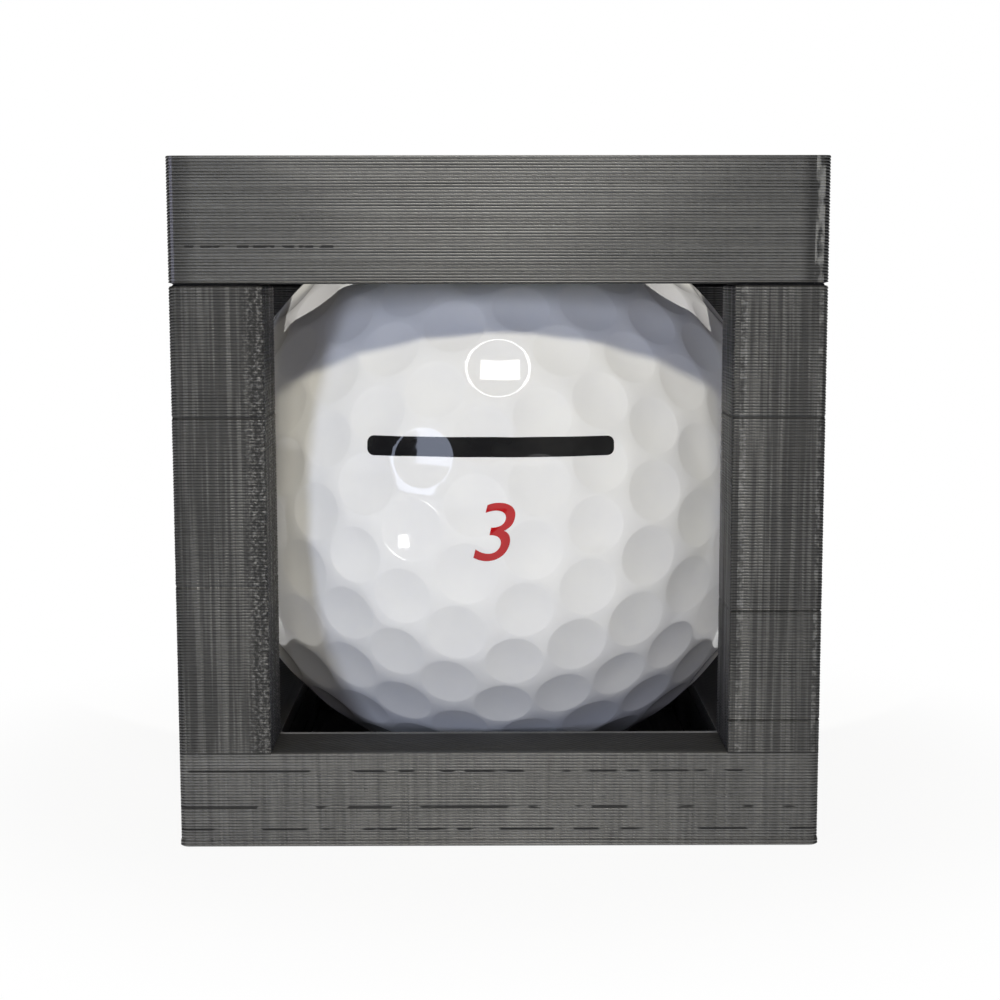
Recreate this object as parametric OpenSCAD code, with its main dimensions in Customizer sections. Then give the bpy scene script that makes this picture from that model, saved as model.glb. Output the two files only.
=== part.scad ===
// Display case for one golf ball, printed in two pieces: an open cube with a
// tray base and four corner posts, and a square ring lid that plugs onto the
// posts. The ball stands loose on the floor of the tray, trapped by the posts.
// The origin is at the middle of the underside, +Z up, and the face that the
// photograph shows looks towards -Y.

/* [Ball] */
// Diameter of the golf ball
ball_d = 42.67; // [42:0.01:43.5]
// Thickness of the ball's cover
cover_t = 1.6; // [1:0.1:2.5]
// Moulding allowance between the core and the cover
core_gap = 0.05; // [0.02:0.01:0.1]
// Dimple rows between one five-neighbour dimple and the next
dimple_rows = 5; // [4:1:6]
// Rim diameter of a dimple as a share of the distance to its nearest neighbour
dimple_fill = 0.97; // [0.8:0.01:0.98]
// Depth of a dimple below the round of the ball
dimple_depth = 0.24; // [0.1:0.01:0.35]
// How the ball lies in the case, as turns about X, Y and Z
ball_turn = [72, 0, -109];

/* [Case] */
// Width of a corner post, also the width of the rails in line with it
post_w = 6.2; // [5:0.1:9]
// Gap between the ball and the inner corner of each post
post_gap = 0.3; // [0.2:0.05:0.6]
// Height of the base, from the table to the window sill
base_h = 6.4; // [5:0.2:10]
// Thickness of the floor under the ball
floor_t = 0.8; // [0.6:0.2:1.6]
// Gap drawn between the ball and the floor it stands on
floor_gap = 0.05; // [0.02:0.01:0.1]
// Rounding of the upright outer edges
edge_r = 0.5; // [0.2:0.1:1.5]

/* [Lid] */
// Height of the lid
lid_h = 8.2; // [6:0.2:12]
// Height of the lid's top above the top of the ball
crown_room = 2.28; // [1:0.1:5]

/* [Pegs] */
// Diameter of the peg on top of each post
peg_d = 3; // [2:0.1:4]
// Height of a peg above its post
peg_h = 4; // [2:0.2:5]
// Radial gap between a peg and its socket in the lid
peg_gap = 0.05; // [0.03:0.01:0.1]
// Spare depth of a socket above the end of its peg
socket_spare = 0.4; // [0.2:0.1:0.8]
// Chamfer on the end of a peg and round the mouth of a socket
peg_chamfer = 0.4; // [0.2:0.1:0.6]

/* [Hidden] */

// Spare length of a cutter where it leaves a face
cut_spare = 1;
// A dimple's cutter runs this far past the cover, and this much wider than its rim
lens_spare = 0.1;
rim_spare = 1.01;
// Fineness of round outlines
round_fn = 64;

// The four windows, the well in the base and the opening in the lid share one
// square, whose corners clear the ball's equator
window_w = (ball_d / 2 + post_gap) * sqrt(2);
case_w = window_w + 2 * post_w;
ball_z = floor_t + floor_gap + ball_d / 2;
case_h = ball_z + ball_d / 2 + crown_room;
lid_z = case_h - lid_h;
post_at = (window_w + post_w) / 2;
socket_d = peg_d + 2 * peg_gap;

// The twelve corners of an icosahedron, one at each pole and two rings of five
ico_ring = atan(0.5);
function at_angles(along, up) = [cos(up) * cos(along), cos(up) * sin(along), sin(up)];
ico_corners = [
    [0, 0, 1],
    for (k = [0:4]) at_angles(72 * k, ico_ring),
    for (k = [0:4]) at_angles(72 * k + 36, -ico_ring),
    [0, 0, -1],
];
ico_faces = [
    for (k = [0:4])
        let (n = (k + 1) % 5)
            each [[0, 1 + k, 1 + n], [1 + k, 6 + k, 1 + n], [6 + k, 6 + n, 1 + n], [11, 6 + n, 6 + k]],
];

// Each face carries the same piece of a hexagonal lattice. Its corners are
// lattice points one step along and dimple_rows steps across from each other,
// so the rows run slightly askew and no lattice point lies on a face's edge.
lattice_a = 1;
lattice_b = dimple_rows;
lattice_t = pow(lattice_a, 2) + lattice_a * lattice_b + pow(lattice_b, 2);
face_weights = [
    for (i = [-lattice_b:lattice_a], j = [1:lattice_a + 2 * lattice_b])
        let (
            u = (i * (lattice_a + lattice_b) + j * lattice_b) / lattice_t,
            v = (lattice_a * j - lattice_b * i) / lattice_t
        )
        if (u > 0 && v > 0 && u + v < 1) [1 - u - v, u, v],
];

// Sines of the weights spread the dimples evenly over the round of the ball
spread_angle = 72;
function unit(v) = v / norm(v);
function on_face(face, w) =
    unit([for (n = [0:2]) sin(spread_angle * w[n])] * [for (n = [0:2]) ico_corners[face[n]]]);
dimple_dirs = [
    each ico_corners,
    for (face = ico_faces, w = face_weights) on_face(face, w),
];

// Straight distance from a dimple to its nearest neighbour on the ball
function spacing(dir) =
    ball_d / 2 * min([for (other = dimple_dirs) let (gap = norm(other - dir)) if (gap > 0.01) gap]);

// A square outline about the Z axis whose corners are rounded
module rounded_square(w, r) {
    square([w - 2 * r, w], center = true);
    square([w, w - 2 * r], center = true);
    for (x = [-1, 1], y = [-1, 1])
        translate([x * (w / 2 - r), y * (w / 2 - r)])
            circle(r, $fn = round_fn);
}

// Outline of the four posts, cut out of the case's own outline
module post_outlines() {
    intersection() {
        rounded_square(case_w, edge_r);
        for (x = [-1, 1], y = [-1, 1])
            translate([x * post_at, y * post_at])
                square(post_w + 0.001, center = true);
    }
}

module at_posts() {
    for (x = [-1, 1], y = [-1, 1])
        translate([x * post_at, y * post_at, lid_z])
            children();
}

// Peg with a chamfered end, standing on z = 0
module peg() {
    cylinder(d = peg_d, h = peg_h - peg_chamfer, $fn = round_fn);
    translate([0, 0, peg_h - peg_chamfer])
        cylinder(d1 = peg_d, d2 = peg_d - 2 * peg_chamfer, h = peg_chamfer, $fn = round_fn);
}

// Socket for the peg, with a chamfered mouth at z = 0
module socket() {
    translate([0, 0, -cut_spare])
        cylinder(d = socket_d, h = peg_h + socket_spare + cut_spare, $fn = round_fn);
    translate([0, 0, -0.001])
        cylinder(d1 = socket_d + 2 * peg_chamfer, d2 = socket_d, h = peg_chamfer, $fn = round_fn);
}

module case_body() {
    color("dimgray") {
        difference() {
            linear_extrude(base_h)
                rounded_square(case_w, edge_r);
            translate([0, 0, floor_t + base_h / 2])
                cube([window_w, window_w, base_h], center = true);
        }
        translate([0, 0, base_h])
            linear_extrude(lid_z - base_h)
                post_outlines();
        at_posts() peg();
    }
}

module lid() {
    color("dimgray")
        difference() {
            translate([0, 0, lid_z])
                linear_extrude(lid_h)
                    difference() {
                        rounded_square(case_w, edge_r);
                        square(window_w, center = true);
                    }
            at_posts() socket();
        }
}

// One dimple cutter, a lens: the part of a larger ball that dips to the dimple
// depth and meets the cover in a circle of the rim diameter
module dimple(dir) {
    rim_r = dimple_fill * spacing(dir) / 2;
    rim_z = sqrt(pow(ball_d / 2, 2) - pow(rim_r, 2));
    bottom_z = ball_d / 2 - dimple_depth;
    drop = rim_z - bottom_z;
    dish_r = (pow(rim_r, 2) + pow(drop, 2)) / (2 * drop);
    rotate([0, acos(dir[2]), atan2(dir[1], dir[0])])
        intersection() {
            translate([0, 0, bottom_z + dish_r])
                sphere(dish_r, $fn = round_fn);
            translate([0, 0, bottom_z - lens_spare])
                cylinder(r = rim_r * rim_spare, h = dimple_depth + 3 * lens_spare, $fn = round_fn);
        }
}

module place_ball() {
    translate([0, 0, ball_z])
        rotate(ball_turn)
            children();
}

module ball_cover() {
    color("white")
        place_ball()
            difference() {
                sphere(ball_d / 2, $fn = 2 * round_fn);
                for (dir = dimple_dirs)
                    dimple(dir);
                sphere(ball_d / 2 - cover_t, $fn = 2 * round_fn);
            }
}

module ball_core() {
    color("orange")
        place_ball()
            sphere(ball_d / 2 - cover_t - core_gap, $fn = 2 * round_fn);
}

case_body();
lid();
ball_cover();
ball_core();
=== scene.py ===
# %% [markdown]
# A display case for one golf ball, printed layer by layer in charcoal filament.
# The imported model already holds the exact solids. This lesson dresses them: it
# builds the printed body, the lid and the dimpled ball as they look close up.

# %% Load the frame
import math

import bmesh
import bpy
from mathutils import Euler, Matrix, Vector, noise
from mathutils.kdtree import KDTree


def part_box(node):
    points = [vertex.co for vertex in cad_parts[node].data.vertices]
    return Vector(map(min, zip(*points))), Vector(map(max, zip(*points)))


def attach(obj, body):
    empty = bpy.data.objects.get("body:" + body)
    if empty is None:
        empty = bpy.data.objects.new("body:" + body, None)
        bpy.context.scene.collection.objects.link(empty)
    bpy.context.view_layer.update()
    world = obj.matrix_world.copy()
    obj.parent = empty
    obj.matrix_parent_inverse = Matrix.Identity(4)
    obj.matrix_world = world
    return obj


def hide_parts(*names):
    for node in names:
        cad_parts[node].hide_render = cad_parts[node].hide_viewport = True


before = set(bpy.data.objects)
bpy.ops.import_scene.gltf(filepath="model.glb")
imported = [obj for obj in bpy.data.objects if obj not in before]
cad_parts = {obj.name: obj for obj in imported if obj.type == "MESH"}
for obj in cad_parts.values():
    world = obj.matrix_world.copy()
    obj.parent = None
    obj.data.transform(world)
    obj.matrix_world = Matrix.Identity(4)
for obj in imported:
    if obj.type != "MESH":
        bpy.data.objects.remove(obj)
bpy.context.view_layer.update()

# %% [markdown]
# The outer sizes come from the solids, and the rest are the sizes that the
# solids were drawn with. The pieces are modelled in millimetres, because a layer
# of 0.2 mm is easier to read and to merge at that scale, and each finished piece
# is shrunk to metres at the end.

# %% Read the sizes in millimetres
def size_of(node):
    low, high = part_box(node)
    return [v * 1000 for v in low], [v * 1000 for v in high]


body_low, body_high = size_of("case_body")
lid_low, lid_high = size_of("lid")

CASE_W = body_high[0] - body_low[0]
POST_W = 6.2
WINDOW_W = CASE_W - 2 * POST_W
POST_AT = (WINDOW_W + POST_W) / 2
SILL_Z = 6.4
FLOOR_Z = 0.8
LID_Z = lid_low[2]
TOP_Z = lid_high[2]
EDGE_R = 0.5
PEG_D = 3.0
PEG_TOP = body_high[2]
PEG_CHAMFER = 0.4
SOCKET_D = 3.1
SOCKET_DEPTH = 4.4
BALL_D = 42.67
BALL_R = BALL_D / 2
BALL_Z = FLOOR_Z + 0.05 + BALL_R
LAYER = 0.2
print("case", round(CASE_W, 2), "window", round(WINDOW_W, 2))
print("lid from", round(LID_Z, 2), "to", round(TOP_Z, 2))

# %% [markdown]
# Blender's operators act on whatever is selected, so each step starts from an
# empty selection. These helpers start a new mesh and pick parts of it by place.

# %% Helpers for selecting
def deselect():
    if bpy.context.object and bpy.context.object.mode != "OBJECT":
        bpy.ops.object.mode_set(mode="OBJECT")
    bpy.ops.object.select_all(action="DESELECT")


def activate(obj):
    deselect()
    obj.select_set(True)
    bpy.context.view_layer.objects.active = obj


def edit(obj):
    activate(obj)
    bpy.ops.object.mode_set(mode="EDIT")


def pick(obj, kind, test):
    """Select the vertices, edges or faces of obj whose middle passes the test."""
    bpy.ops.mesh.select_mode(type=kind)
    bpy.ops.mesh.select_all(action="DESELECT")
    mesh = bmesh.from_edit_mesh(obj.data)
    chosen = 0
    for part in {"VERT": mesh.verts, "EDGE": mesh.edges, "FACE": mesh.faces}[kind]:
        if kind == "VERT":
            place = part.co
        elif kind == "EDGE":
            place = (part.verts[0].co + part.verts[1].co) / 2
        else:
            place = part.calc_center_median()
        if test(place, part):
            part.select_set(True)
            chosen += 1
    bmesh.update_edit_mesh(obj.data)
    return chosen


def pick_rim(obj, z):
    """Select the open edges at one height."""
    return pick(obj, "EDGE", lambda place, part: part.is_boundary and abs(place.z - z) < 0.01)


# %% Helpers for shaping
def grow(share, centre):
    """Scale the selection sideways about an upright line through centre."""
    about = (centre[0], centre[1], 0)
    bpy.ops.transform.resize(value=(share, share, 1), center_override=about)


def extrude_up(rise):
    bpy.ops.mesh.extrude_region_move(TRANSFORM_OT_translate={"value": (0, 0, rise)})


def far_out(place):
    """How far a place lies from the middle of the case, to its front, back or sides."""
    return max(abs(place.x), abs(place.y))


def close_rims(obj, heights):
    """Fill the open loops at some heights and turn every face outwards."""
    for z in heights:
        pick_rim(obj, z)
        bpy.ops.mesh.fill()
    bpy.ops.mesh.select_all(action="SELECT")
    bpy.ops.mesh.normals_make_consistent(inside=False)
    bpy.ops.object.mode_set(mode="OBJECT")


def join(pieces, name):
    activate(pieces[0])
    for piece in pieces[1:]:
        piece.select_set(True)
    bpy.ops.object.join()
    pieces[0].name = name
    pieces[0].data.name = name
    return pieces[0]


def to_metres(obj):
    """Shrink a finished piece from millimetres and leave its place in its mesh."""
    activate(obj)
    bpy.ops.transform.resize(value=(0.001, 0.001, 0.001), center_override=(0, 0, 0))
    bpy.ops.object.transform_apply(location=True, rotation=True, scale=True)
    return obj


# %% [markdown]
# The camera stands a hand's width in front of the case and a little above its
# middle, looking slightly down. That close, the case's upright edges converge.

# %% Place the camera
CAMERA_PLACE = Vector((-0.65, -143.72, 37.59)) * 0.001
CAMERA_DOWN = 7.425
CAMERA_RIGHT = 0.343
CAMERA_ROLL = 0.075
PICTURE_PIXELS = 1000
FOCAL_PIXELS = 1869
PRINCIPAL_ROW = 527.5

camera_data = bpy.data.cameras.new("camera")
camera_data.sensor_width = 36
camera_data.lens = FOCAL_PIXELS * camera_data.sensor_width / PICTURE_PIXELS
camera_data.shift_y = (PRINCIPAL_ROW - PICTURE_PIXELS / 2) / PICTURE_PIXELS
camera_data.clip_start = 0.01
camera = bpy.data.objects.new("camera", camera_data)
camera.location = CAMERA_PLACE
camera.rotation_euler = Euler((
    math.radians(90 - CAMERA_DOWN),
    math.radians(CAMERA_ROLL),
    math.radians(-CAMERA_RIGHT),
))
bpy.context.scene.collection.objects.link(camera)
bpy.context.scene.camera = camera
bpy.context.scene.view_settings.view_transform = "Standard"
print("lens", round(camera_data.lens, 1), "mm")

# %% [markdown]
# The light is a small photo tent with a window at the left. A lamp can be kept
# out of the glossy or the diffuse rays. So the front lamp only shades, at the
# height that puts the lid's shadow where it falls, and the lamps that are seen
# as glints in the dimples and on the beads only shine. Two lamps behind the case
# show its other sides. Each row gives the direction from the case, the distance,
# the width and the height in metres, the power in watts and the tint.

# %% Hang the lamps
AIM = Vector((0, 0, 0.022))
SHADING = {
    "front_lamp": ((0.0, -0.766, 0.643), 0.5, 0.15, 0.04, 1.27, (1.0, 0.943, 0.762)),
    "front_fill": ((0.10, -0.99, 0.03), 0.6, 0.5, 0.3, 0.86, (0.75, 0.78, 1.0)),
    "left_fill": ((-0.98, 0.174, 0.06), 0.5, 0.2, 0.1, 0.06, (1.0, 0.75, 0.50)),
    "right_fill": ((0.98, 0.174, 0.06), 0.5, 0.2, 0.1, 0.26, (0.88, 0.86, 1.0)),
    "window": ((-0.457, -0.878, 0.139), 0.5, 0.08, 0.14, 0.85, (0.70, 0.78, 1.0)),
    "back_left": ((-0.557, 0.663, 0.5), 0.6, 0.3, 0.2, 1.45, (1.0, 0.98, 0.96)),
    "back_right": ((0.557, 0.663, 0.5), 0.6, 0.3, 0.2, 1.45, (0.96, 0.98, 1.0)),
}
SHINING = {
    "bead_shine": ((0.0, -0.617, 0.787), 0.52, 0.16, 0.07, 0.96, (1.0, 0.96, 0.86)),
    "top_glint": ((-0.007, -0.610, 0.792), 0.52, 0.118, 0.074, 0.38, (1.0, 0.98, 0.95)),
    "window_glint": ((-0.551, -0.816, 0.174), 0.5, 0.135, 0.135, 0.30, (0.70, 0.78, 1.0)),
    "low_glint": ((-0.473, -0.872, -0.12), 0.12, 0.006, 0.007, 0.0024, (1.0, 1.0, 1.0)),
}


def turned_to(direction):
    """The turn of a lamp that shines back along a direction."""
    return direction.to_track_quat("Z", "Y").to_euler()


def lamp(name, direction, distance, width, height, power, tint):
    data = bpy.data.lights.new(name, "AREA")
    data.shape = "RECTANGLE"
    data.size = width
    data.size_y = height
    data.energy = power
    data.color = tint
    obj = bpy.data.objects.new(name, data)
    toward = Vector(direction).normalized()
    obj.location = AIM + toward * distance
    obj.rotation_euler = turned_to(toward)
    bpy.context.scene.collection.objects.link(obj)
    return obj


lamps = {name: lamp(name, *row) for name, row in (SHADING | SHINING).items()}
for name in SHADING:
    lamps[name].visible_glossy = False
for name in SHINING:
    lamps[name].visible_diffuse = False
print(len(SHADING), "lamps that shade,", len(SHINING), "that shine")

# %% [markdown]
# One more lamp shines over the front rail into the opening of the lid. It is a
# narrow spot, and the lower edge of its cone ends on the lid's front face, so
# that it reaches the crown of the ball and nothing below the lid.

# %% Light the crown of the ball
CROWN_AIM = Vector((0, -0.012, 0.040))
CROWN_PLACE = CROWN_AIM + Vector((0.0, -0.515, 0.857)) * 0.5
CROWN_TILT = Vector((0, -0.574, 0.819))

crown_data = bpy.data.lights.new("crown_lamp", "SPOT")
crown_data.energy = 7.2
crown_data.color = (1.0, 0.97, 0.93)
crown_data.spot_size = math.radians(10)
crown_data.spot_blend = 0.0
crown_data.shadow_soft_size = 0.0008
crown_lamp = bpy.data.objects.new("crown_lamp", crown_data)
crown_lamp.location = CROWN_PLACE
crown_lamp.rotation_euler = turned_to(CROWN_TILT)
crown_lamp.visible_glossy = False
bpy.context.scene.collection.objects.link(crown_lamp)
print("crown lamp at", [round(v, 3) for v in crown_lamp.location])

# %% [markdown]
# The tent's walls are white to the eye, but they give the object only a faint
# warm fill. The world tells the two apart by the kind of ray that meets it.

# %% Light the tent's walls
FILL_STRENGTH = 0.012

world = bpy.data.worlds.new("tent")
world.use_nodes = True
bpy.context.scene.world = world
tree = world.node_tree
tree.nodes.clear()


def seen_directly(tree):
    """A socket that is 1 for the camera's rays and for what gloss and glass show it."""
    rays = tree.nodes.new("ShaderNodeLightPath")
    first = tree.nodes.new("ShaderNodeMath")
    first.operation = "LESS_THAN"
    tree.links.new(rays.outputs["Ray Depth"], first.inputs[0])
    first.inputs[1].default_value = 1.5
    gloss = tree.nodes.new("ShaderNodeMath")
    gloss.operation = "MULTIPLY"
    tree.links.new(rays.outputs["Is Glossy Ray"], gloss.inputs[0])
    tree.links.new(first.outputs[0], gloss.inputs[1])
    either = rays.outputs["Is Camera Ray"]
    for kind in (gloss.outputs[0], rays.outputs["Is Transmission Ray"]):
        node = tree.nodes.new("ShaderNodeMath")
        node.operation = "MAXIMUM"
        tree.links.new(either, node.inputs[0])
        tree.links.new(kind, node.inputs[1])
        either = node.outputs[0]
    return either


world_out = tree.nodes.new("ShaderNodeOutputWorld")
mix = tree.nodes.new("ShaderNodeMixShader")
white = tree.nodes.new("ShaderNodeBackground")
white.inputs["Color"].default_value = (1, 1, 1, 1)
white.inputs["Strength"].default_value = 1.0
fill = tree.nodes.new("ShaderNodeBackground")
fill.inputs["Color"].default_value = (1.0, 0.95, 0.91, 1)
fill.inputs["Strength"].default_value = FILL_STRENGTH
tree.links.new(seen_directly(tree), mix.inputs["Fac"])
tree.links.new(fill.outputs["Background"], mix.inputs[1])
tree.links.new(white.outputs["Background"], mix.inputs[2])
tree.links.new(mix.outputs["Shader"], world_out.inputs["Surface"])
print("tent walls with", len(tree.nodes), "nodes")

# %% [markdown]
# Node materials are easier to read when each line says what feeds what. This
# helper adds a node, sets its plain values and links its inputs in one go. A
# mask is 1 where a mark shows and 0 elsewhere, and masks are multiplied so that
# a mark shows only where all of them agree.

# %% A helper for materials
NEAR_BLACK = (0.003, 0.003, 0.004, 1)


class Finish:
    def __init__(self, name):
        self.material = bpy.data.materials.new(name)
        self.material.use_nodes = True
        self.nodes = self.material.node_tree.nodes
        self.links = self.material.node_tree.links
        self.nodes.clear()
        self.out = self.nodes.new("ShaderNodeOutputMaterial")
        self.shader = self.nodes.new("ShaderNodeBsdfPrincipled")
        self.links.new(self.shader.outputs["BSDF"], self.out.inputs["Surface"])
        self.coordinates = self.nodes.new("ShaderNodeTexCoord")

    def put(self, node, socket, value):
        if isinstance(value, bpy.types.NodeSocket):
            self.links.new(value, node.inputs[socket])
        else:
            node.inputs[socket].default_value = value

    def xyz(self, vector):
        node = self.nodes.new("ShaderNodeSeparateXYZ")
        self.put(node, 0, vector)
        return node.outputs[0], node.outputs[1], node.outputs[2]

    def place(self):
        """The place on the piece, in millimetres."""
        metres = self.xyz(self.coordinates.outputs["Object"])
        return [self.math("MULTIPLY", part, 1000.0) for part in metres]

    def math(self, operation, a, b=0.0):
        node = self.nodes.new("ShaderNodeMath")
        node.operation = operation
        self.put(node, 0, a)
        self.put(node, 1, b)
        return node.outputs[0]

    def times(self, first, *others):
        for other in others:
            first = self.math("MULTIPLY", first, other)
        return first

    def most(self, first, *others):
        for other in others:
            first = self.math("MAXIMUM", first, other)
        return first

    def away(self, a, b):
        """How far apart two values are."""
        return self.math("ABSOLUTE", self.math("SUBTRACT", a, b))

    def near(self, value, place, reach):
        """1 where the value lies within reach of a place."""
        node = self.nodes.new("ShaderNodeMath")
        node.operation = "COMPARE"
        self.put(node, 0, value)
        node.inputs[1].default_value = place
        node.inputs[2].default_value = reach
        return node.outputs[0]

    def noise(self, scale, detail=2.0, roughness=0.5):
        """Noise on the piece's own coordinates, with a scale along each axis, per metre."""
        mapping = self.nodes.new("ShaderNodeMapping")
        self.put(mapping, "Vector", self.coordinates.outputs["Object"])
        mapping.inputs["Scale"].default_value = scale
        node = self.nodes.new("ShaderNodeTexNoise")
        self.put(node, "Vector", mapping.outputs[0])
        node.inputs["Scale"].default_value = 1.0
        node.inputs["Detail"].default_value = detail
        node.inputs["Roughness"].default_value = roughness
        return node.outputs["Fac"]

    def span(self, value, low, high, to_low=0.0, to_high=1.0, smooth=False):
        node = self.nodes.new("ShaderNodeMapRange")
        node.interpolation_type = "SMOOTHSTEP" if smooth else "LINEAR"
        self.put(node, "Value", value)
        node.inputs["From Min"].default_value = low
        node.inputs["From Max"].default_value = high
        node.inputs["To Min"].default_value = to_low
        node.inputs["To Max"].default_value = to_high
        return node.outputs["Result"]

    def blend(self, amount, a, b):
        node = self.nodes.new("ShaderNodeMix")
        node.data_type = "RGBA"
        self.put(node, 0, amount)
        self.put(node, 6, a)
        self.put(node, 7, b)
        return node.outputs[2]

    def mark(self, colour, strength, *masks, ink=NEAR_BLACK):
        """The colour with a share of ink laid over it where all the masks agree."""
        return self.blend(self.times(strength, *masks), colour, ink)

    def bump(self, height, strength, distance, normal=None):
        node = self.nodes.new("ShaderNodeBump")
        node.inputs["Strength"].default_value = strength
        node.inputs["Distance"].default_value = distance
        self.put(node, "Height", height)
        if normal is not None:
            self.put(node, "Normal", normal)
        return node.outputs["Normal"]


# %% [markdown]
# Printed filament is satin where a nozzle drew it. Each layer has a slightly
# different tone, so the noise is stretched along the layers, and the posts show
# a woven look across them. The body is more woven than the lid, and its grey is
# a little lighter, as painted light that makes up for the weaker highlights on
# the beads of its base; its posts are darkened again. Heights, widths and
# reaches in the masks are in millimetres.

# %% Charcoal filament: the tone of the beads
DARK_GREY = (0.050, 0.050, 0.049, 1)
PALE_GREY = (0.30, 0.30, 0.29, 1)
BODY = {
    "light": (0.150, 0.148, 0.141, 1), "woven": 0.42, "shine": 0.8,
    "lines": ((37.6, 0.15, 1.0), (28.89, 0.07, 0.8)),
    "pit_rows": (5.2, 2.7, 1.2), "pit_scale": 520,
}
LID = {
    "light": (0.120, 0.120, 0.115, 1), "woven": 0.12, "shine": 1.0,
    "lines": ((37.6, 0.12, 1.0),),
    "pit_rows": (40.0,), "pit_scale": 1300,
}


def bead_tone(f, recipe):
    """Layers, woven ripples, cloudy patches and grain, mixed between two greys."""
    layers = f.noise((60, 60, 5000), detail=1.0)
    f.ripples = f.noise((3700, 3700, 90), detail=1.0)
    fine = f.noise((5200, 5200, 260), detail=1.0)
    patches = f.noise((90, 90, 220))
    f.grain = f.noise((3000, 3000, 6000), roughness=0.7)
    f.weave = f.math("ADD", f.times(f.ripples, 0.65), f.times(fine, 0.35))
    woven = recipe["woven"]
    tone = f.math("ADD", f.times(f.weave, woven), f.times(layers, 0.58 - woven))
    tone = f.math("ADD", tone, f.times(patches, 0.20))
    tone = f.math("ADD", tone, f.times(f.grain, 0.22))
    return f.blend(f.span(tone, 0.37, 0.63), DARK_GREY, recipe["light"])


# %% [markdown]
# Close up, a print is full of small faults. Painted shade lies in the grooves
# between layers, in pitted rows where the filament ran thin, and along the joint
# between lid and posts and where the posts stand on the sill, and a dark line is
# painted where the print paused. All of it could be cut in the mesh, but a mask
# costs nothing and follows the same layers.

# %% Charcoal filament: grooves, pits and lines
LID_PITS_END = -10.5


def shaded_print_marks(f, colour, recipe):
    """Painted shade in the grooves between layers, in pitted rows and at the joint lines."""
    in_layer = f.math("FRACT", f.times(f.z, 1 / LAYER))
    groove_shade = f.span(f.away(in_layer, 0.5), 0.28, 0.5, smooth=True)
    # Painted shade in the grooves between layers.
    colour = f.mark(colour, 0.72, groove_shade, f.upright)

    # Painted shade in pitted rows, on the lid only towards its left end.
    rows = f.most(0.0, *(f.near(f.z, row, 0.08) for row in recipe["pit_rows"]))
    across = recipe["pit_scale"]
    dashes = f.span(f.noise((across, across, 900), detail=1.0), 0.45, 0.52, smooth=True)
    pits = f.times(dashes, rows, f.upright)
    if recipe is LID:
        pits = f.times(pits, f.math("LESS_THAN", f.x, LID_PITS_END))
    # Painted shade along the lid's joint, and a dark line where the print paused.
    for height, reach, strength in recipe["lines"]:
        pits = f.most(pits, f.times(f.near(f.z, height, reach), strength))
    # Painted shade where the posts stand on the sill.
    sill_joint_shade = f.times(f.near(f.z, SILL_Z, 0.07), f.math("GREATER_THAN", f.inner, WINDOW_W / 2))
    f.pits = f.most(pits, f.times(sill_joint_shade, 0.7))
    return f.mark(colour, 0.9, f.pits)


# %% [markdown]
# A post is narrow, so the nozzle turns back often. That leaves woven columns, a
# ragged strip along the inner edge of the left posts, and rows of pale dots on
# the right ones, where the nozzle left each layer.

# %% Charcoal filament: the posts
LEFT_SHADE_FROM = -20.8
RIGHT_LIP = 15.50
RIGHT_DOTS = ((21.0, 0.15), (15.98, 0.22))


def post_marks(f, colour, on_post):
    """Woven columns, the ragged strip at the left, and the pale dots at the right."""
    f.columns = f.times(f.span(f.ripples, 0.58, 0.44), on_post)
    colour = f.mark(colour, 0.38, f.columns)
    right = f.times(f.math("GREATER_THAN", f.x, 0.0), on_post)
    left = f.times(f.math("LESS_THAN", f.x, 0.0), on_post)

    beside = f.span(f.inner, WINDOW_W / 2 + 0.9, WINDOW_W / 2 + 1.6, 1.0, 0.0)
    ragged = f.times(beside, f.math("GREATER_THAN", f.inner, WINDOW_W / 2 - 0.3), left)
    blobs = f.noise((4000, 4000, 4600), roughness=0.6)
    dark_spots = f.times(ragged, f.span(blobs, 0.54, 0.45))
    f.columns = f.most(f.columns, dark_spots)
    colour = f.mark(colour, 0.85, dark_spots)
    colour = f.mark(colour, 0.45, ragged, f.span(blobs, 0.56, 0.66), ink=PALE_GREY)
    # Painted shade on the left posts, from near their left edge round onto their left side.
    colour = f.mark(colour, 0.30, f.math("LESS_THAN", f.x, LEFT_SHADE_FROM), left)

    colour = f.mark(colour, 0.55, f.near(f.x, RIGHT_LIP, 0.28), right)
    dotted = f.most(*(f.near(f.x, place, reach) for place, reach in RIGHT_DOTS))
    dots = f.span(f.noise((2200, 2200, 2400), roughness=0.7), 0.46, 0.60)
    return f.mark(colour, 0.40, dotted, right, dots, ink=PALE_GREY)


# %% [markdown]
# Level faces show the nozzle's passes instead: two round the edges and slanting
# ones between. The rounded upright corners get painted shade, more on the right
# than on the left. The lid gets more painted shade towards its ends and a painted
# bluish highlight along its left edge, and its seam runs down one corner, where
# each layer starts and ends.

# %% Charcoal filament: level faces and corners
PASS_WIDTH = 0.42
EDGE_PASSES = 2.2
SEAM_X = 20.80


def nozzle_passes(f):
    """Two passes round each edge and slanting ones between, as a height."""
    per_mm = 2 * math.pi / PASS_WIDTH
    rounds = f.math("SINE", f.times(f.edge, per_mm))
    slants = f.math("SINE", f.times(f.math("ADD", f.x, f.y), per_mm * math.sqrt(0.5)))
    rail_middle = (CASE_W + WINDOW_W) / 4
    near_edge = f.math("GREATER_THAN", f.away(f.edge, rail_middle), EDGE_PASSES)
    between = f.math("SUBTRACT", 1.0, near_edge)
    passes = f.math("ADD", f.times(rounds, near_edge), f.times(slants, between))
    return f.times(passes, f.level)


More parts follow.
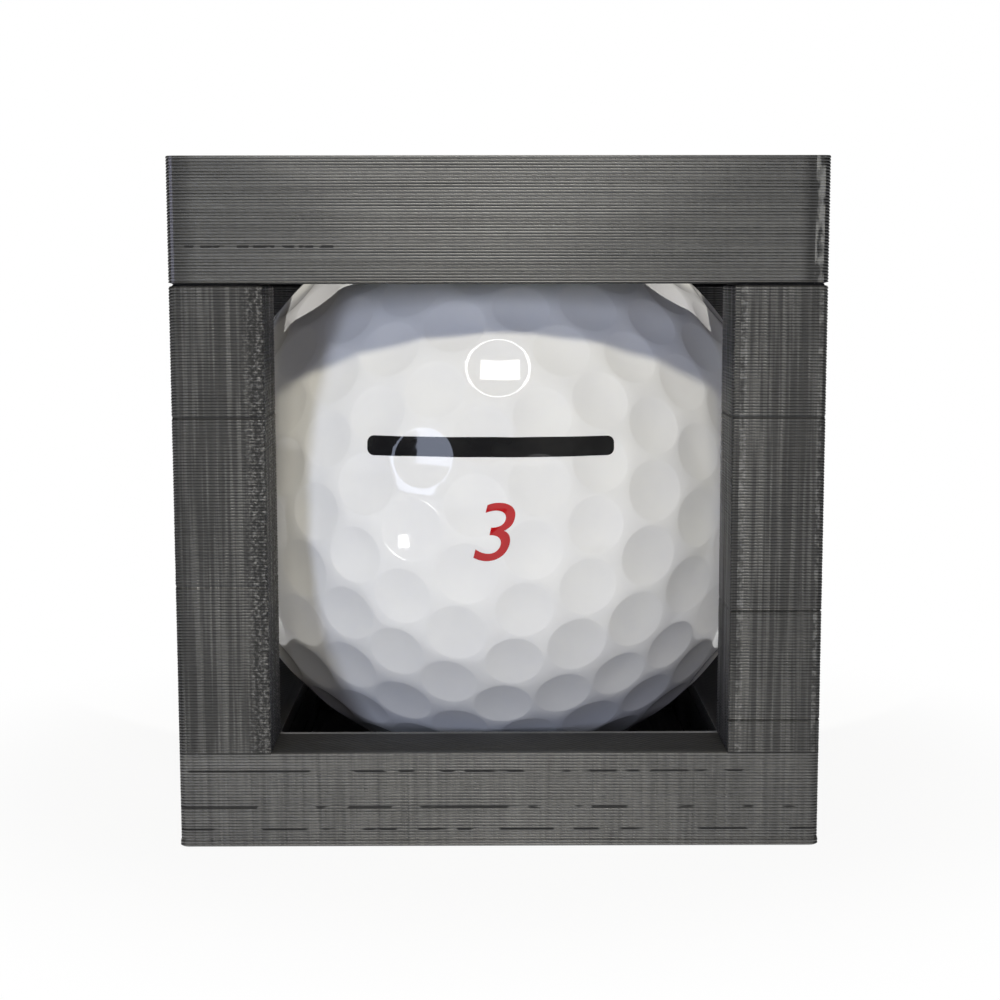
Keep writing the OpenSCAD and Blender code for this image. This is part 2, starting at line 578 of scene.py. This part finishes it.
def corner_shade_and_seam(f, colour, recipe):
    """Painted shade in strips at the corners and the lid's ends, a painted highlight, and its
    seam.
    """
    strip = f.span(f.inner, 21.1, 21.3, smooth=True)
    # Painted shade in the rounded upright corners, more on the right than the left.
    colour = f.mark(colour, f.span(f.x, -5.0, 5.0, 0.25, 0.62), strip, f.upright)
    if recipe is LID:
        # Painted shade towards the lid's right end and along its left edge.
        colour = f.mark(colour, 0.80, f.span(f.x, 19.4, 20.3, smooth=True), f.upright)
        colour = f.mark(colour, 0.62, f.span(f.x, -19.3, -20.8, smooth=True), f.upright)
        # A painted bluish highlight along the lid's left edge.
        painted_edge_highlight = f.near(f.x, -21.12, 0.10)
        colour = f.mark(colour, 0.5, painted_edge_highlight, f.upright, ink=(0.20, 0.20, 0.25, 1))
        blobs = f.span(f.noise((2600, 2600, 900)), 0.44, 0.60)
        seam = f.times(f.near(f.x, SEAM_X, 0.30), blobs)
        colour = f.mark(colour, 0.8, seam, f.upright, ink=(0.24, 0.24, 0.23, 1))
    return colour


# %% [markdown]
# The faces round a window look inwards, so they get little light, and their
# print is rougher. Painted shade darkens every face inside the outer skin towards
# the sill and the lid, level tops among them, and the front lip of the window's
# faces. More painted shade fills the well and the level faces, most of all behind
# the front sill. Painted highlights lie along the back edge of the window's faces
# and the rim of the front sill.

# %% Charcoal filament: the faces round a window
def window_shade_and_light(f, colour):
    """Painted shade round a window but for the middle, a dark lip, and painted highlights."""
    inside = f.span(f.edge, 21.2, 21.0)
    shade_to_ends = f.span(f.away(f.z, BALL_Z), 5.0, 13.0, 0.06, 0.76, smooth=True)
    shade_to_lid = f.span(f.z, BALL_Z + 9, BALL_Z + 13, 0.0, 0.90, smooth=True)
    # Painted shade on every face inside the outer skin, towards the sill and the lid.
    colour = f.mark(colour, inside, f.most(shade_to_ends, shade_to_lid))
    in_well = f.math("LESS_THAN", f.edge, WINDOW_W / 2 + 0.3)
    below_sill = f.math("LESS_THAN", f.z, SILL_Z - 0.1)
    # Painted shade in the well below the sill.
    colour = f.mark(colour, 0.80, in_well, below_sill)

    low = f.math("LESS_THAN", f.z, BALL_Z)
    # Painted shade on level faces, more below the ball's middle.
    colour = f.mark(colour, f.level, f.span(low, 0.0, 1.0, 0.20, 0.60))
    sides = f.times(f.math("GREATER_THAN", f.y, -15.2), low)
    # Painted shade, near black, on level faces behind the front sill below the ball's middle.
    colour = f.mark(colour, 0.88, sides, f.level)

    on_window = f.times(f.near(f.inner, 15.30, 0.14), f.upright)
    # Painted shade on the front lip of the window's faces.
    colour = f.mark(colour, 0.6, f.near(f.edge, 20.5, 0.8), on_window)
    # A painted highlight along the back edge of the window's faces.
    rear_edge_highlight = f.times(f.near(f.edge, 15.9, 0.6), on_window, f.span(f.grain, 0.45, 0.6))
    colour = f.mark(colour, 0.35, rear_edge_highlight, ink=(0.20, 0.20, 0.20, 1))
    # A painted highlight along the rim of the front sill.
    rim = f.times(f.near(f.edge, 15.55, 0.30), f.level, f.math("SUBTRACT", low, sides))
    return f.mark(colour, 0.55, rim, ink=(0.34, 0.34, 0.36, 1))


# %% [markdown]
# The marks are laid over each other, one after another. The gloss goes wherever
# a mark is dark, because a pit holds shadow and not a highlight, and three bumps
# raise the passes, the weave and the grain by some hundredths of a millimetre.

# %% Charcoal filament: put together
PASS_BUMP = 0.00003
WEAVE_BUMP = 0.00006
GRAIN_BUMP = 0.00003


def filament(name, recipe):
    f = Finish(name)
    f.x, f.y, f.z = f.place()
    f.edge = f.most(f.math("ABSOLUTE", f.x), f.math("ABSOLUTE", f.y))
    f.inner = f.math("MINIMUM", f.math("ABSOLUTE", f.x), f.math("ABSOLUTE", f.y))
    facing = f.math("ABSOLUTE", f.xyz(f.coordinates.outputs["Normal"])[2])
    f.level = f.span(facing, 0.93, 0.97)
    f.upright = f.math("SUBTRACT", 1.0, f.level)
    f.columns = 0.0

    colour = bead_tone(f, recipe)
    weave = f.times(f.weave, f.upright, recipe["woven"] * 2.4)
    if recipe is BODY:
        on_post = f.times(f.math("GREATER_THAN", f.z, SILL_Z), f.upright)
        colour = f.mark(colour, 0.30, on_post)
        colour = post_marks(f, colour, on_post)
        weave = f.times(weave, f.math("ADD", on_post, 1.0))
    colour = shaded_print_marks(f, colour, recipe)
    colour = corner_shade_and_seam(f, colour, recipe)
    f.put(f.shader, "Base Color", window_shade_and_light(f, colour))

    dull = f.most(f.level, f.pits, f.times(f.columns, 0.7))
    satin = f.span(f.grain, 0.3, 0.7, 0.29, 0.35)
    f.put(f.shader, "Roughness", f.math("ADD", satin, f.times(dull, 0.45)))
    normal = f.bump(nozzle_passes(f), 0.35, PASS_BUMP)
    normal = f.bump(weave, 0.6, WEAVE_BUMP, normal)
    f.put(f.shader, "Normal", f.bump(f.grain, 0.03, GRAIN_BUMP, normal))
    f.shader.inputs["Specular IOR Level"].default_value = recipe["shine"]
    print(name, "with", len(f.nodes), "nodes")
    return f.material


body_finish = filament("charcoal_filament_body", BODY)
lid_finish = filament("charcoal_filament_lid", LID)

# %% [markdown]
# The ball's cover is white under a clear coat. The coat gives the sharp glints
# in the dimples, and faint scuffs keep it from looking like a new lamp. The inks
# lie under the same coat.

# %% White cover and inks
def coated(name, colour, tint):
    f = Finish(name)
    cloud = f.noise((220, 220, 220), detail=3.0)
    fine = f.noise((3500, 3500, 3500))
    f.put(f.shader, "Base Color", f.blend(f.span(cloud, 0.35, 0.65), colour, tint))
    f.put(f.shader, "Roughness", f.span(fine, 0.3, 0.7, 0.30, 0.38))
    f.put(f.shader, "Normal", f.bump(fine, 0.05, 0.00001))
    f.shader.inputs["Specular IOR Level"].default_value = 0.0
    f.shader.inputs["Coat Weight"].default_value = 1.0
    f.shader.inputs["Coat Roughness"].default_value = 0.05
    print(name, "with", len(f.nodes), "nodes")
    return f.material


cover_finish = coated("white_cover", (0.78, 0.78, 0.78, 1), (0.82, 0.82, 0.81, 1))
red_ink = coated("red_ink", (0.43, 0.004, 0.006, 1), (0.47, 0.010, 0.012, 1))
black_ink = coated("black_ink", (0.010, 0.010, 0.011, 1), (0.022, 0.022, 0.022, 1))

# %% [markdown]
# The core is moulded rubber. The cover hides it, so its solid stays as it is and
# only gets a finish.

# %% Rubber core
def moulded_rubber():
    f = Finish("core_rubber")
    speckle = f.noise((900, 900, 900), detail=3.0)
    colour = f.blend(speckle, (0.55, 0.20, 0.04, 1), (0.70, 0.30, 0.07, 1))
    f.put(f.shader, "Base Color", colour)
    f.put(f.shader, "Normal", f.bump(speckle, 0.2, 0.00005))
    f.shader.inputs["Roughness"].default_value = 0.8
    return f.material


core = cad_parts["ball_core"]
core.data.materials.clear()
core.data.materials.append(moulded_rubber())
print("core finished with", core.data.materials[0].name)

# %% [markdown]
# A printed wall is a stack of beads. One layer is drawn by hand: the outline is
# extruded up in four steps, narrow in the grooves and full width on the bead.
# An Array modifier then stacks it, and merging joins each groove to the next.
# A real nozzle wanders, so each layer is shifted in or out a little at last.

# %% Draw an outline
CENTRE = (0, 0)
BEAD_DEPTH = 0.06
BEAD_STEPS = ((0.03, 0.35), (0.07, 0), (0.07, 0.35), (0.03, 1))
WANDER = 0.012


def square_outline(name, width, centre, radius_of):
    """A square wire on the ground, each corner rounded by radius_of(x, y)."""
    deselect()
    bpy.ops.mesh.primitive_plane_add(size=width, location=(*centre, 0))
    obj = bpy.context.object
    obj.name = name
    bpy.ops.object.transform_apply(location=True, rotation=False, scale=False)
    edit(obj)
    corners = [(sx, sy) for sx in (-1, 1) for sy in (-1, 1)]
    for sx, sy in corners:
        where = Vector((centre[0] + sx * width / 2, centre[1] + sy * width / 2, 0))
        if pick(obj, "VERT", lambda place, part: (place - where).length < 0.01):
            bpy.ops.mesh.bevel(offset=radius_of(sx, sy), segments=4, affect="VERTICES")
    bpy.ops.mesh.select_all(action="SELECT")
    bpy.ops.mesh.delete(type="ONLY_FACE")
    bpy.ops.object.mode_set(mode="OBJECT")
    return obj


# %% Stack its layers
def wander(obj, centre, seed):
    """Shift each layer in or out a little, as a real nozzle does."""
    for vertex in obj.data.vertices:
        layer = math.floor(vertex.co.z / LAYER + 0.001)
        away = Vector((vertex.co.x - centre[0], vertex.co.y - centre[1], 0))
        side = noise.noise(Vector((away.x * 0.15, away.y * 0.15, layer * 0.77 + seed)))
        vertex.co += away.normalized() * side * WANDER


def bead_wall(name, width, centre, bottom, top, radius_of, outward=True, seed=None):
    """A square wall of beads between two heights, with its beads out or inwards."""
    obj = square_outline(name, width, centre, radius_of)
    inset = -2 / width if not outward else 2 / width
    edit(obj)
    bpy.ops.mesh.select_all(action="SELECT")
    bpy.ops.transform.translate(value=(0, 0, bottom))
    before = 1 - inset * BEAD_DEPTH
    grow(before, centre)
    bpy.ops.mesh.select_mode(type="EDGE")
    for rise, depth in BEAD_STEPS:
        extrude_up(rise)
        after = 1 - inset * BEAD_DEPTH * depth
        grow(after / before, centre)
        before = after
    bpy.ops.object.mode_set(mode="OBJECT")
    array = obj.modifiers.new("layers", "ARRAY")
    array.count = round((top - bottom) / LAYER)
    array.use_relative_offset = False
    array.use_constant_offset = True
    array.constant_offset_displace = (0, 0, LAYER)
    array.use_merge_vertices = True
    array.merge_threshold = 0.004
    print(name, array.count, "layers")
    bpy.ops.object.modifier_apply(modifier="layers")
    if seed is not None:
        wander(obj, centre, seed)
    return obj


# %% [markdown]
# The tray is the base of the body: an outer wall of 32 layers, a square well
# whose wall starts on the floor, and a level sill between the two. The first
# layers are squashed onto the bed and stand a little proud.

# %% Build the tray
FOOT = 0.04


def tray():
    outer = bead_wall("outer_wall", CASE_W, CENTRE, 0, SILL_Z, lambda sx, sy: EDGE_R, seed=3.1)
    inner = bead_wall("well_wall", WINDOW_W, CENTRE, FLOOR_Z, SILL_Z, lambda sx, sy: 0.2,
                      outward=False)
    obj = join([outer, inner], "tray")
    edit(obj)
    pick(obj, "VERT", lambda place, part: 0.1 < place.z < 0.5 and far_out(place) > 18)
    grow(1 + 2 * FOOT / CASE_W, CENTRE)
    close_rims(obj, (0, FLOOR_Z, SILL_Z))
    return obj


# %% [markdown]
# A post is a short square tower with a round peg on top. Only its outer corner
# is rounded. It is modelled once and copied to the other three corners, and
# each copy gets the faint ridges where its own print paused.

# %% Build one post and its peg
SEAT_INSET = 0.05
JOINT_INSET = 0.22


def round_end(centre, z, radius, steps):
    """A circle drawn up to a closed end: each step is a rise and a change of width."""
    bpy.ops.mesh.select_all(action="DESELECT")
    bpy.ops.mesh.primitive_circle_add(vertices=32, radius=radius, location=(*centre, z))
    bpy.ops.mesh.select_mode(type="EDGE")
    for rise, share in steps:
        extrude_up(rise)
        if share != 1:
            grow(share, centre)
    bpy.ops.mesh.edge_face_add()


def post():
    centre = (POST_AT, POST_AT)
    obj = bead_wall("post", POST_W, centre, SILL_Z, LID_Z,
                    lambda sx, sy: EDGE_R if sx > 0 and sy > 0 else 0.12, seed=8.4)
    edit(obj)
    for z, reach, inset in ((SILL_Z, 0.01, SEAT_INSET), (LID_Z, 0.11, JOINT_INSET)):
        pick(obj, "VERT", lambda place, part: abs(place.z - z) < reach)
        grow(1 - 2 * inset / POST_W, centre)
    pick_rim(obj, SILL_Z)
    bpy.ops.mesh.fill()
    straight = PEG_TOP - LID_Z - PEG_CHAMFER
    tip = 1 - 2 * PEG_CHAMFER / PEG_D
    round_end(centre, LID_Z, PEG_D / 2, ((straight, 1), (PEG_CHAMFER, tip)))
    close_rims(obj, (LID_Z,))
    return obj


# %% Copy it to the four corners
PAUSES = {(-1, -1): (28.9, 17.7), (1, -1): (28.9, 16.0, 8.6), (-1, 1): (24.1,), (1, 1): (12.3,)}
PAUSE_INSET = 0.065


def posts():
    first = post()
    made = []
    for turn, (sx, sy) in enumerate(((1, 1), (-1, 1), (-1, -1), (1, -1))):
        copy = first.copy()
        copy.data = first.data.copy()
        bpy.context.scene.collection.objects.link(copy)
        activate(copy)
        copy.rotation_euler.z = math.radians(90 * turn)
        bpy.ops.object.transform_apply(location=False, rotation=True, scale=False)
        edit(copy)
        for pause in PAUSES[(sx, sy)]:
            pick(copy, "VERT", lambda place, part: abs(place.z - pause) < 0.06)
            grow(1 - 2 * PAUSE_INSET / POST_W, (sx * POST_AT, sy * POST_AT))
        bpy.ops.object.mode_set(mode="OBJECT")
        made.append(copy)
    bpy.data.objects.remove(first)
    return made


# %% [markdown]
# A finished piece is shrunk to metres and gets its finish. Then it is hung on
# an empty for the body it rides on, so that it moves with that body's joint,
# and the solid that it stands for is hidden.

# %% Hand over the body
def smooth(obj, degrees):
    activate(obj)
    bpy.ops.object.shade_smooth_by_angle(angle=math.radians(degrees), keep_sharp_edges=True)


def hand_over(obj, body, node, finish):
    to_metres(obj)
    obj.data.materials.clear()
    obj.data.materials.append(finish)
    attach(obj, body)
    if node:
        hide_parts(node)
    print(obj.name, sum(len(p.vertices) - 2 for p in obj.data.polygons), "triangles")


printed_body = join([tray()] + posts(), "printed_body")
smooth(printed_body, 50)
hand_over(printed_body, "case", "case_body", body_finish)

# %% [markdown]
# The lid is one square ring, so its outer and inner walls are stacked the same
# way. Four blind sockets open in its underside, and filling between all the
# open loops at that height makes the level face with its holes in one step. The
# lowest bead is drawn in, which leaves the dark line above the posts, and painted
# shade along the joint darkens it further.

# %% Build the lid
LID_INSET = 0.20


def lid():
    outer = bead_wall("lid_outer", CASE_W, CENTRE, LID_Z, TOP_Z, lambda sx, sy: EDGE_R, seed=5.7)
    inner = bead_wall("lid_inner", WINDOW_W, CENTRE, LID_Z, TOP_Z, lambda sx, sy: 0.2,
                      outward=False)
    obj = join([outer, inner], "printed_lid")
    edit(obj)
    neck = SOCKET_D / (SOCKET_D + 2 * PEG_CHAMFER)
    depth = SOCKET_DEPTH - PEG_CHAMFER
    for sx in (-1, 1):
        for sy in (-1, 1):
            round_end((sx * POST_AT, sy * POST_AT), LID_Z, SOCKET_D / 2 + PEG_CHAMFER,
                      ((PEG_CHAMFER, neck), (depth, 1)))
    pick(obj, "VERT", lambda place, part: place.z < LID_Z + 0.04 and far_out(place) > 21)
    grow(1 - 2 * LID_INSET / CASE_W, CENTRE)
    close_rims(obj, (LID_Z, TOP_Z))
    return obj


printed_lid = lid()
smooth(printed_lid, 50)
hand_over(printed_lid, "lid", "lid", lid_finish)

# %% [markdown]
# The ball has 312 dimples, set out on the faces of an icosahedron. First comes
# the middle of each dimple, by the same rule as in the solids: each face holds
# the same piece of a triangular lattice, spread evenly over the round.

# %% Set out the dimples
BALL_TURN = Euler([math.radians(v) for v in (72, 0, -109)])
ROWS = 5
SPREAD = math.radians(72)
DIMPLE_FILL = 0.97
DIMPLE_DEPTH = 0.24


def icosahedron():
    ring = math.atan(0.5)
    corners = [Vector((0, 0, 1))]
    for lift, start in ((ring, 0), (-ring, 36)):
        for k in range(5):
            along = math.radians(72 * k + start)
            out = math.cos(lift)
            corners.append(Vector((out * math.cos(along), out * math.sin(along), math.sin(lift))))
    corners.append(Vector((0, 0, -1)))
    faces = []
    for k in range(5):
        n = (k + 1) % 5
        faces += [(0, 1 + k, 1 + n), (1 + k, 6 + k, 1 + n)]
        faces += [(6 + k, 6 + n, 1 + n), (11, 6 + n, 6 + k)]
    return corners, faces


def dimple_directions():
    corners, faces = icosahedron()
    total = 1 + ROWS + ROWS ** 2
    weights = []
    for i in range(-ROWS, 2):
        for j in range(1, 2 * ROWS + 2):
            u = (i * (1 + ROWS) + j * ROWS) / total
            v = (j - ROWS * i) / total
            if u > 0 and v > 0 and u + v < 1:
                weights.append((1 - u - v, u, v))
    found = list(corners)
    for face in faces:
        for weight in weights:
            place = Vector()
            for share, corner in zip(weight, face):
                place += math.sin(SPREAD * share) * corners[corner]
            found.append(place.normalized())
    return found


dimples = dimple_directions()
spacing = [min((a - b).length for b in dimples if b is not a) * BALL_R for a in dimples]
print(len(dimples), "dimples,", round(min(spacing), 2), "to", round(max(spacing), 2), "mm apart")

# %% [markdown]
# The rims come next, one filled circle each. The convex hull operator then
# stretches a skin over all the circles, which becomes the land between them.
# Insets give each dimple its rings, and the rings drop onto the round dish.

# %% Model the cover
RIM_SIDES = 24
RING_STEPS = (0.09, 0.11, 0.20, 0.55, 0.60)
RIM_SOFTNESS = 0.03


def height_at(radius):
    """Height of the round ball above its middle, at a radius from an axis."""
    return math.sqrt(BALL_R ** 2 - radius ** 2)


def cover():
    deselect()
    bpy.ops.mesh.primitive_circle_add(vertices=3, radius=0.01, fill_type="NOTHING")
    obj = bpy.context.object
    obj.name = "dimpled_cover"
    edit(obj)
    bpy.ops.mesh.delete(type="VERT")
    for direction, gap in zip(dimples, spacing):
        rim = DIMPLE_FILL * gap / 2
        bpy.ops.mesh.primitive_circle_add(
            vertices=RIM_SIDES, radius=rim, fill_type="NGON", location=direction * height_at(rim),
            rotation=direction.to_track_quat("Z", "Y").to_euler())
    bpy.ops.mesh.select_all(action="SELECT")
    bpy.ops.mesh.convex_hull(delete_unused=False, use_existing_faces=True, join_triangles=False)
    bpy.ops.mesh.select_all(action="SELECT")
    bpy.ops.mesh.normals_make_consistent(inside=False)
    pick(obj, "FACE", lambda place, part: len(part.verts) == RIM_SIDES)
    for step in RING_STEPS:
        bpy.ops.mesh.inset(thickness=step, use_individual=True)
    bpy.ops.mesh.poke()
    bpy.ops.object.mode_set(mode="OBJECT")
    return obj


# %% Sink the dimples
def dish_height(radius, rim):
    """Height above the ball's middle, along the dimple's axis, at a radius from it."""
    bottom = BALL_R - DIMPLE_DEPTH
    drop = height_at(rim) - bottom
    dish = (rim ** 2 + drop ** 2) / (2 * drop)
    low = bottom + dish - math.sqrt(dish ** 2 - radius ** 2)
    gap = max(RIM_SOFTNESS - abs(height_at(radius) - low), 0) / RIM_SOFTNESS
    return min(low, height_at(radius)) - gap * gap * RIM_SOFTNESS / 4


def sink_dishes(obj):
    """Drop every ring vertex onto its own dimple's round dish."""
    nearest = KDTree(len(dimples))
    for index, direction in enumerate(dimples):
        nearest.insert(direction, index)
    nearest.balance()
    for vertex in obj.data.vertices:
        direction, index, _ = nearest.find(vertex.co.normalized())
        aside = vertex.co - direction * vertex.co.dot(direction)
        rim = DIMPLE_FILL * spacing[index] / 2
        vertex.co = aside + direction * dish_height(min(aside.length, rim), rim)


dimpled_cover = cover()
sink_dishes(dimpled_cover)
activate(dimpled_cover)
dimpled_cover.rotation_euler = BALL_TURN
dimpled_cover.location = (0, 0, BALL_Z)
bpy.ops.object.transform_apply(location=True, rotation=True, scale=False)
bpy.ops.object.shade_smooth()
print("cover with", len(dimpled_cover.data.vertices), "vertices")

# %% [markdown]
# The ball carries a plain red number and a plain black sighting line. Both are
# flat shapes cut into small cells and then pressed onto the cover with a
# Shrinkwrap modifier, so that the ink runs down into the dimples.

# %% Draw the number and the line
IN_FRONT = -30
NUMBER_AT = (-0.62, IN_FRONT, 21.08)
NUMBER_SIZE = 5.6
LINE_AT = (-0.55, IN_FRONT, 26.9)
LINE_SIZE = (16.5, 1.3, 1)
FACING_FRONT = (math.pi / 2, 0, 0)


def number():
    deselect()
    bpy.ops.object.text_add(location=NUMBER_AT, rotation=FACING_FRONT)
    text = bpy.context.object
    text.data.body = "3"
    text.data.align_x = "CENTER"
    text.data.align_y = "CENTER"
    text.data.size = NUMBER_SIZE
    text.data.shear = 0.22
    text.data.resolution_u = 12
    text.scale.x = 1.08
    bpy.ops.object.convert(target="MESH")
    obj = bpy.context.object
    obj.name = "ball_number"
    bpy.ops.object.transform_apply(location=True, rotation=True, scale=True)
    return obj


def sighting_line():
    deselect()
    bpy.ops.mesh.primitive_plane_add(size=1, location=LINE_AT, rotation=FACING_FRONT)
    obj = bpy.context.object
    obj.name = "ball_sighting_line"
    obj.scale = LINE_SIZE
    bpy.ops.object.transform_apply(location=True, rotation=True, scale=True)
    edit(obj)
    bpy.ops.mesh.select_all(action="SELECT")
    bpy.ops.mesh.bevel(offset=0.45, segments=5, affect="VERTICES")
    bpy.ops.object.mode_set(mode="OBJECT")
    return obj


# %% Print them on the cover
INK = 0.012
CELL = 0.14


def slice_finely(obj):
    """Cut a flat upright shape into cells, so that it can follow the dimples."""
    xs = [v.co.x for v in obj.data.vertices]
    zs = [v.co.z for v in obj.data.vertices]
    edit(obj)
    for low, high, axis in ((min(xs), max(xs), 0), (min(zs), max(zs), 2)):
        place = low + CELL
        while place < high:
            point = [0, IN_FRONT, 0]
            normal = [0, 0, 0]
            point[axis] = place
            normal[axis] = 1
            bpy.ops.mesh.select_all(action="SELECT")
            bpy.ops.mesh.bisect(plane_co=point, plane_no=normal)
            place += CELL
    bpy.ops.object.mode_set(mode="OBJECT")


def press_onto_cover(obj):
    activate(obj)
    wrap = obj.modifiers.new("press", "SHRINKWRAP")
    wrap.target = dimpled_cover
    wrap.wrap_method = "PROJECT"
    wrap.use_project_y = True
    wrap.use_negative_direction = False
    wrap.use_positive_direction = True
    wrap.offset = INK
    wrap.wrap_mode = "ABOVE_SURFACE"
    bpy.ops.object.modifier_apply(modifier="press")
    bpy.ops.object.shade_smooth()


marks = [(number(), red_ink), (sighting_line(), black_ink)]
for mark, ink in marks:
    slice_finely(mark)
    press_onto_cover(mark)
hand_over(dimpled_cover, "ball", "ball_cover", cover_finish)
for mark, ink in marks:
    hand_over(mark, "ball", None, ink)

# %% [markdown]
# A lamp can also be told what it lights. The glints are for the ball alone, and
# the lid doesn't block the top one, so that its ring in the dimple is whole. The
# lamps behind the case leave out the table, which would throw their light back
# at the front.

# %% Share out the light
def gather(name, pieces, state):
    group = bpy.data.collections.new(name)
    for piece in pieces:
        group.objects.link(piece)
    for member in group.collection_objects:
        member.light_linking.link_state = state
    return group


ball_pieces = [dimpled_cover] + [mark for mark, ink in marks]
lit_by = {name: ball_pieces for name in ("top_glint", "window_glint", "low_glint")}
for name in ("back_left", "back_right"):
    lit_by[name] = ball_pieces + [printed_body, printed_lid]
for name, pieces in lit_by.items():
    lamps[name].light_linking.receiver_collection = gather("lit_" + name, pieces, "INCLUDE")
not_lit = gather("not_lit_bead_shine", ball_pieces, "EXCLUDE")
lamps["bead_shine"].light_linking.receiver_collection = not_lit
not_blocking = gather("not_blocking_top_glint", [printed_lid], "EXCLUDE")
lamps["top_glint"].light_linking.blocker_collection = not_blocking
print("lamps for some pieces only:", ", ".join(list(lit_by) + ["bead_shine"]))

# %% [markdown]
# The case stands on a pale table that runs on to the back of the tent. The
# table keeps the case's shadow, and the camera sees it almost white.

# %% Lay the table
def table_finish():
    f = Finish("pale_table")
    speck = f.noise((40, 40, 40))
    f.put(f.shader, "Base Color", f.blend(speck, (0.86, 0.86, 0.86, 1), (0.90, 0.90, 0.90, 1)))
    f.shader.inputs["Roughness"].default_value = 0.9
    x, y, z = f.place()
    away = f.math("SQRT", f.math("ADD", f.times(x, x), f.times(y, y)))
    share = f.span(away, 28, 55, 0.92, 1.0, smooth=True)
    glow = f.nodes.new("ShaderNodeEmission")
    glow.inputs["Color"].default_value = (1, 1, 1, 1)
    glow.inputs["Strength"].default_value = 1.0
    both = f.nodes.new("ShaderNodeMixShader")
    f.put(both, 0, f.times(seen_directly(f.material.node_tree), share))
    f.links.new(f.shader.outputs["BSDF"], both.inputs[1])
    f.links.new(glow.outputs["Emission"], both.inputs[2])
    f.links.new(both.outputs["Shader"], f.out.inputs["Surface"])
    return f.material


deselect()
bpy.ops.mesh.primitive_grid_add(x_subdivisions=8, y_subdivisions=8, size=4, location=(0, 0, 0))
table = bpy.context.object
table.name = "table"
table.data.materials.append(table_finish())
print("table", table.dimensions[0], "m wide")
